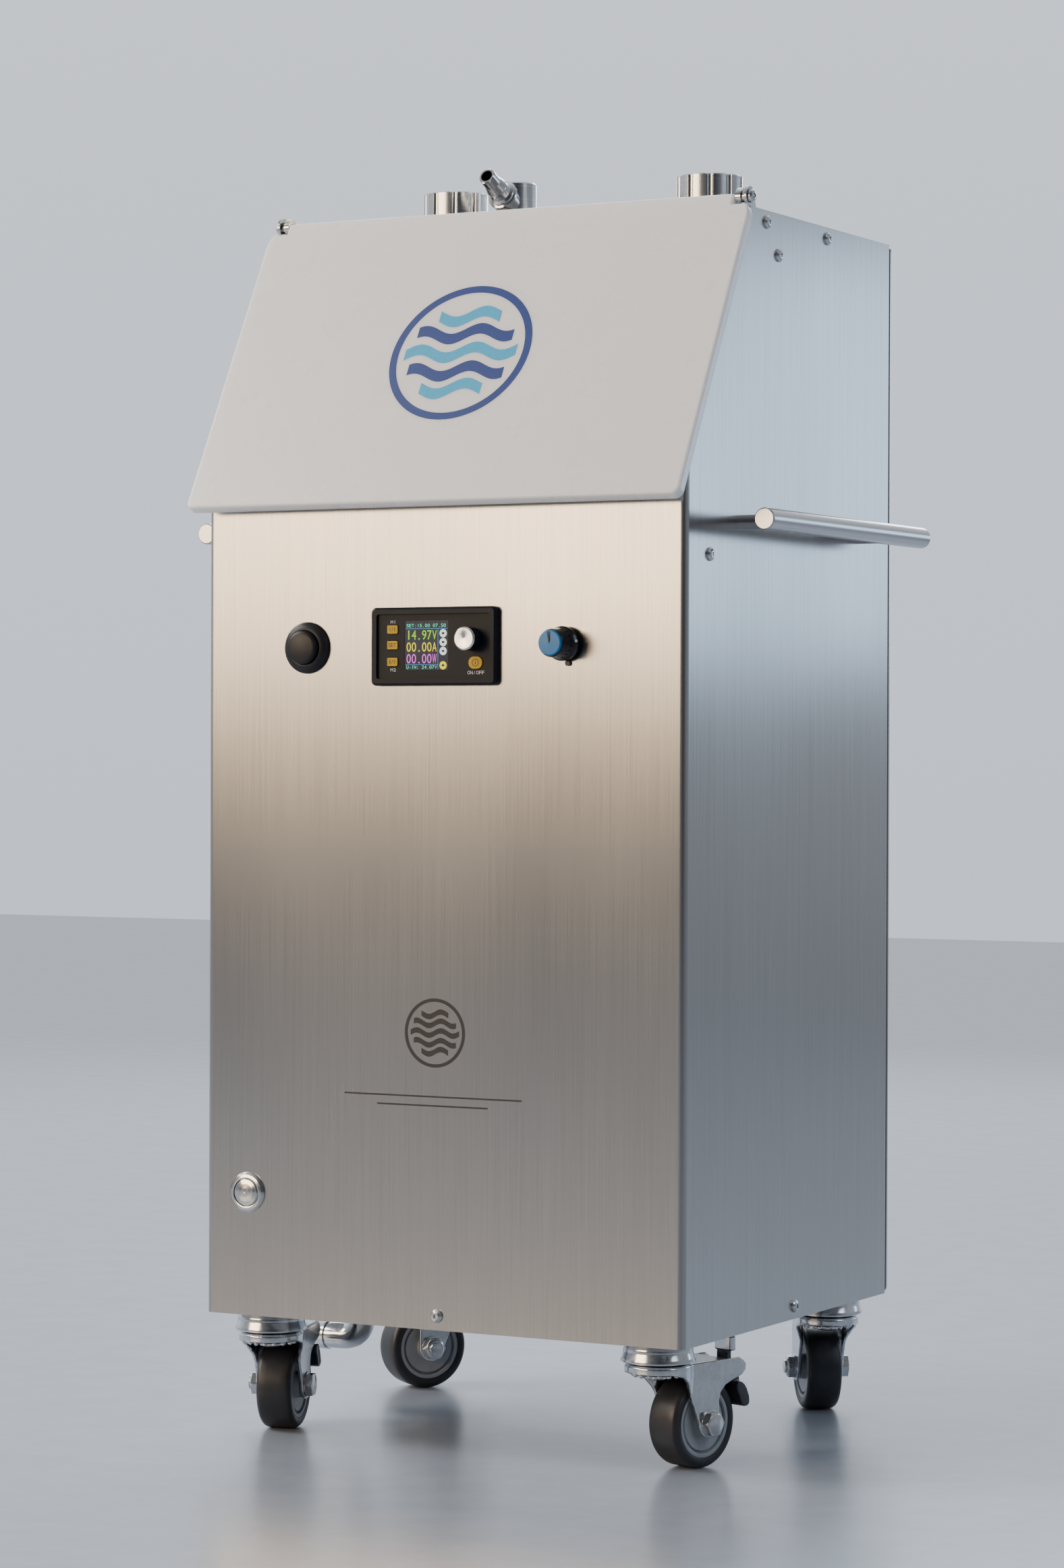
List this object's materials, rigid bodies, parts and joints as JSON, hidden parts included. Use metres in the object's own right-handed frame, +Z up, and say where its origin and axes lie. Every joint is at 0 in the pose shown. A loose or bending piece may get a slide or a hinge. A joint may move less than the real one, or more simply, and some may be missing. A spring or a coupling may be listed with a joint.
{
  "type": "electrolysis gas generator",
  "caption": "Wheeled brushed-steel electrolysis gas generator with hinged opal lid, digital supply panel, push buttons, side bar handles, filler caps and hose barb.",
  "frame": {"origin": "on the floor, under the centre of the whole object's bounding box", "axes": "+Z up, -Y towards the front with the controls and the lid, +X to the right seen from the front"},
  "size_m": [0.367, 0.3114, 0.7267],
  "materials": {
    "brushed_steel": "vertical brushed grain, satin",
    "satin_steel": "turned satin",
    "polished_steel": "polished",
    "zinc_plate": "bright zinc plate",
    "opal_acrylic": "opal, softly glossy",
    "black_rubber": "matt",
    "tyre_rubber": "matt with a moulded sheen",
    "hub_plastic": "moulded satin",
    "black_plastic": "fine moulded texture",
    "screen_glass": "clear cover over a lit screen",
    "key_yellow": "moulded",
    "turned_aluminium": "diamond turned face",
    "cap_blue": "moulded satin",
    "circuit_board": "solder mask",
    "cell_end_polymer": "machined polymer",
    "electrode_metal": "sheet",
    "gasket_rubber": "sheet rubber",
    "hose_silicone": "translucent hose",
    "perforated_case": "pressed sheet"
  },
  "bodies": {
    "cabinet": {"base_plate": "brushed_steel", "bubbler_tank": "satin_steel", "cabinet_shell": "brushed_steel", "caster_stem_nuts": "polished_steel", "caster_top_races": "zinc_plate", "cell_electrodes": "electrode_metal", "cell_end_plates": "cell_end_polymer", "cell_gaskets": "gasket_rubber", "cell_shelf": "satin_steel", "cell_tie_rods": "polished_steel", "display_bezel": "black_plastic", "display_board": "circuit_board", "display_window": "screen_glass", "dome_button_body": "black_rubber", "drain_elbow": "zinc_plate", "drain_plug": "zinc_plate", "electrolyte_tank": "satin_steel", "fan_frame": "black_plastic", "fan_guard": "polished_steel", "gas_outlet_column": "satin_steel", "handles": "satin_steel", "hose_barb": "polished_steel", "hoses": "hose_silicone", "lid_seal": "black_rubber", "mains_inlet": "black_plastic", "panel_screws": "polished_steel", "potentiometer": "circuit_board", "power_supply": "perforated_case", "rear_panel": "brushed_steel", "steel_button_body": "satin_steel", "top_plate": "brushed_steel"},
    "lid": {"lid_panel": "opal_acrylic", "lid_hinge_brackets": "polished_steel", "lid_pivot_screws": "polished_steel"},
    "dome_button": {"dome_button": "black_rubber"},
    "steel_button": {"steel_button": "satin_steel"},
    "display_key_upper": {"display_key_upper": "key_yellow"},
    "display_key_middle": {"display_key_middle": "key_yellow"},
    "display_key_lower": {"display_key_lower": "key_yellow"},
    "display_key_on_off": {"display_key_on_off": "key_yellow"},
    "encoder_knob": {"encoder_knob": "turned_aluminium"},
    "control_knob": {"control_knob": "black_plastic", "control_knob_cap": "cap_blue"},
    "filler_cap_left": {"filler_cap_left": "satin_steel"},
    "filler_cap_right": {"filler_cap_right": "satin_steel"},
    "fan_rotor": {"fan_rotor": "black_plastic"},
    "caster_front_left": {"fork_front_left": "zinc_plate"},
    "wheel_front_left": {"wheel_hub_front_left": "hub_plastic", "wheel_tread_front_left": "tyre_rubber"},
    "brake_lever_front_left": {"brake_lever_front_left": "black_plastic"},
    "caster_front_right": {"fork_front_right": "zinc_plate"},
    "wheel_front_right": {"wheel_hub_front_right": "hub_plastic", "wheel_tread_front_right": "tyre_rubber"},
    "brake_lever_front_right": {"brake_lever_front_right": "black_plastic"},
    "caster_rear_left": {"fork_rear_left": "zinc_plate"},
    "wheel_rear_left": {"wheel_hub_rear_left": "hub_plastic", "wheel_tread_rear_left": "tyre_rubber"},
    "caster_rear_right": {"fork_rear_right": "zinc_plate"},
    "wheel_rear_right": {"wheel_hub_rear_right": "hub_plastic", "wheel_tread_rear_right": "tyre_rubber"}
  },
  "joints": [
    {"name": "lid_hinge", "type": "hinge", "parent": "cabinet", "child": "lid", "pos_m": [0, -0.05904, 0.6923], "axis": [-1, 0, 0], "range_deg": [0, 200]},
    {"name": "dome_button_press", "type": "slide", "parent": "cabinet", "child": "dome_button", "axis": [0, 1, 0], "range_m": [0, 0.0024], "stiffness_N_per_m": 400, "springref_m": -0.0005},
    {"name": "steel_button_press", "type": "slide", "parent": "cabinet", "child": "steel_button", "axis": [0, 1, 0], "range_m": [0, 0.0006], "stiffness_N_per_m": 900, "springref_m": -0.0005},
    {"name": "display_key_upper_press", "type": "slide", "parent": "cabinet", "child": "display_key_upper", "axis": [0, 1, 0], "range_m": [0, 0.0008], "stiffness_N_per_m": 600, "springref_m": -0.0005},
    {"name": "display_key_middle_press", "type": "slide", "parent": "cabinet", "child": "display_key_middle", "axis": [0, 1, 0], "range_m": [0, 0.0008], "stiffness_N_per_m": 600, "springref_m": -0.0005},
    {"name": "display_key_lower_press", "type": "slide", "parent": "cabinet", "child": "display_key_lower", "axis": [0, 1, 0], "range_m": [0, 0.0008], "stiffness_N_per_m": 600, "springref_m": -0.0005},
    {"name": "display_key_on_off_press", "type": "slide", "parent": "cabinet", "child": "display_key_on_off", "axis": [0, 1, 0], "range_m": [0, 0.0008], "stiffness_N_per_m": 600, "springref_m": -0.0005},
    {"name": "encoder_turn", "type": "hinge", "parent": "cabinet", "child": "encoder_knob", "pos_m": [0.0222, -0.14404, 0.4496], "axis": [0, -1, 0], "continuous": true},
    {"name": "control_knob_turn", "type": "hinge", "parent": "cabinet", "child": "control_knob", "pos_m": [0.0787, -0.14604, 0.4465], "axis": [0, -1, 0], "range_deg": [-150, 150]},
    {"name": "filler_cap_left_turn", "type": "hinge", "parent": "cabinet", "child": "filler_cap_left", "pos_m": [-0.0835, 0.02746, 0.711], "axis": [0, 0, 1], "continuous": true},
    {"name": "filler_cap_right_turn", "type": "hinge", "parent": "cabinet", "child": "filler_cap_right", "pos_m": [0.0835, 0.02746, 0.711], "axis": [0, 0, 1], "continuous": true},
    {"name": "fan_spin", "type": "hinge", "parent": "cabinet", "child": "fan_rotor", "pos_m": [0.062, 0.12296, 0.261], "axis": [0, 1, 0], "continuous": true},
    {"name": "caster_front_left_swivel", "type": "hinge", "parent": "cabinet", "child": "caster_front_left", "pos_m": [-0.123, -0.11054, 0.057], "axis": [0, 0, 1], "continuous": true},
    {"name": "wheel_front_left_roll", "type": "hinge", "parent": "caster_front_left", "child": "wheel_front_left", "pos_m": [-0.13067, -0.08465, 0.025], "axis": [-0.9588, -0.284, 0], "continuous": true},
    {"name": "brake_lever_front_left_press", "type": "hinge", "parent": "caster_front_left", "child": "brake_lever_front_left", "pos_m": [-0.1372, -0.0626, 0.0525], "axis": [-0.9588, -0.284, 0], "range_deg": [0, 5]},
    {"name": "caster_front_right_swivel", "type": "hinge", "parent": "cabinet", "child": "caster_front_right", "pos_m": [0.123, -0.11054, 0.057], "axis": [0, 0, 1], "continuous": true},
    {"name": "wheel_front_right_roll", "type": "hinge", "parent": "caster_front_right", "child": "wheel_front_right", "pos_m": [0.13017, -0.08451, 0.025], "axis": [-0.9641, 0.2656, 0], "continuous": true},
    {"name": "brake_lever_front_right_press", "type": "hinge", "parent": "caster_front_right", "child": "brake_lever_front_right", "pos_m": [0.13628, -0.06234, 0.0525], "axis": [-0.9641, 0.2656, 0], "range_deg": [0, 5]},
    {"name": "caster_rear_left_swivel", "type": "hinge", "parent": "cabinet", "child": "caster_rear_left", "pos_m": [-0.123, 0.10946, 0.057], "axis": [0, 0, 1], "continuous": true},
    {"name": "wheel_rear_left_roll", "type": "hinge", "parent": "caster_rear_left", "child": "wheel_rear_left", "pos_m": [-0.1381, 0.08707, 0.025], "axis": [0.829, -0.5592, 0], "continuous": true},
    {"name": "caster_rear_right_swivel", "type": "hinge", "parent": "cabinet", "child": "caster_rear_right", "pos_m": [0.123, 0.10946, 0.057], "axis": [0, 0, 1], "continuous": true},
    {"name": "wheel_rear_right_roll", "type": "hinge", "parent": "caster_rear_right", "child": "wheel_rear_right", "pos_m": [0.10694, 0.13116, 0.025], "axis": [-0.8039, -0.5948, 0], "continuous": true}
  ]
}
